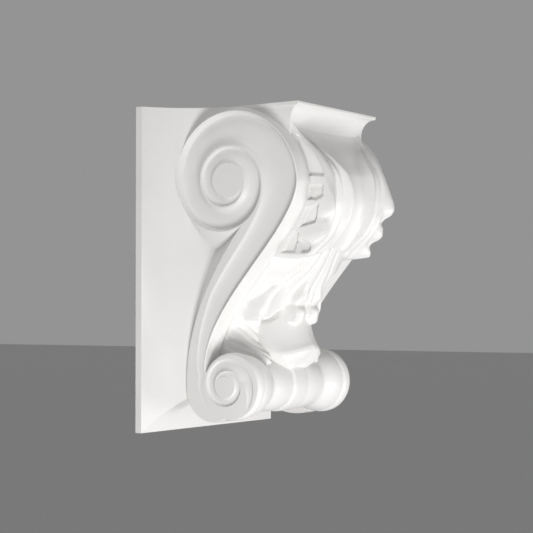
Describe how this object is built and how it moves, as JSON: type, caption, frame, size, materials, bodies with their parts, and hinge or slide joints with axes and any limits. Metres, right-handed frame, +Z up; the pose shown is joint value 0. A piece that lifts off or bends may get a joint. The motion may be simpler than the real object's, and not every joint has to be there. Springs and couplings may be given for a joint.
{
  "type": "corbel",
  "caption": "Scrolled wall corbel cast in one piece: coved back plate, side volutes, acanthus leaf front and a roll at the foot, to carry a shelf or cornice",
  "frame": {"origin": "centre of the flat back face, which lies on the wall", "axes": "+X across the width, to the right of someone who faces the corbel; +Y into the wall; +Z up"},
  "size_m": [0.224, 0.1798, 0.3],
  "materials": {
    "casting": "satin white, moulded and primed, with soft cast edges"
  },
  "bodies": {
    "root": {"corbel": "casting"}
  },
  "joints": []
}
